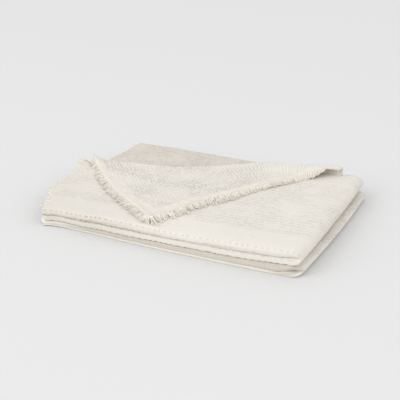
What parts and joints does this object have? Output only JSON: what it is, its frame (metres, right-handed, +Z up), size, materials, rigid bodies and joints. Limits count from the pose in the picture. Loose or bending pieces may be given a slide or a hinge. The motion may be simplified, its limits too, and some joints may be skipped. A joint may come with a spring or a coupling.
{
  "type": "folded waffle throw",
  "caption": "Cream waffle-weave cotton throw folded into a flat stack, with one corner turned back on top and a short fringe along its ends.",
  "frame": {"origin": "middle of the stack's outline, on the surface it rests on", "axes": "+X along the stack's length towards its rolled folds, +Y towards the side that the corner is turned back from, +Z up through the layers"},
  "size_m": [0.511, 0.364, 0.0551],
  "materials": {
    "cream_cotton": "matt waffle weave",
    "fringe_cotton": "matt cotton yarn"
  },
  "bodies": {
    "root": {"throw_cloth": "cream_cotton", "fringe_flap_left": "fringe_cotton", "fringe_flap_right": "fringe_cotton", "fringe_top_end": "fringe_cotton", "fringe_back_end": "fringe_cotton"}
  },
  "joints": []
}
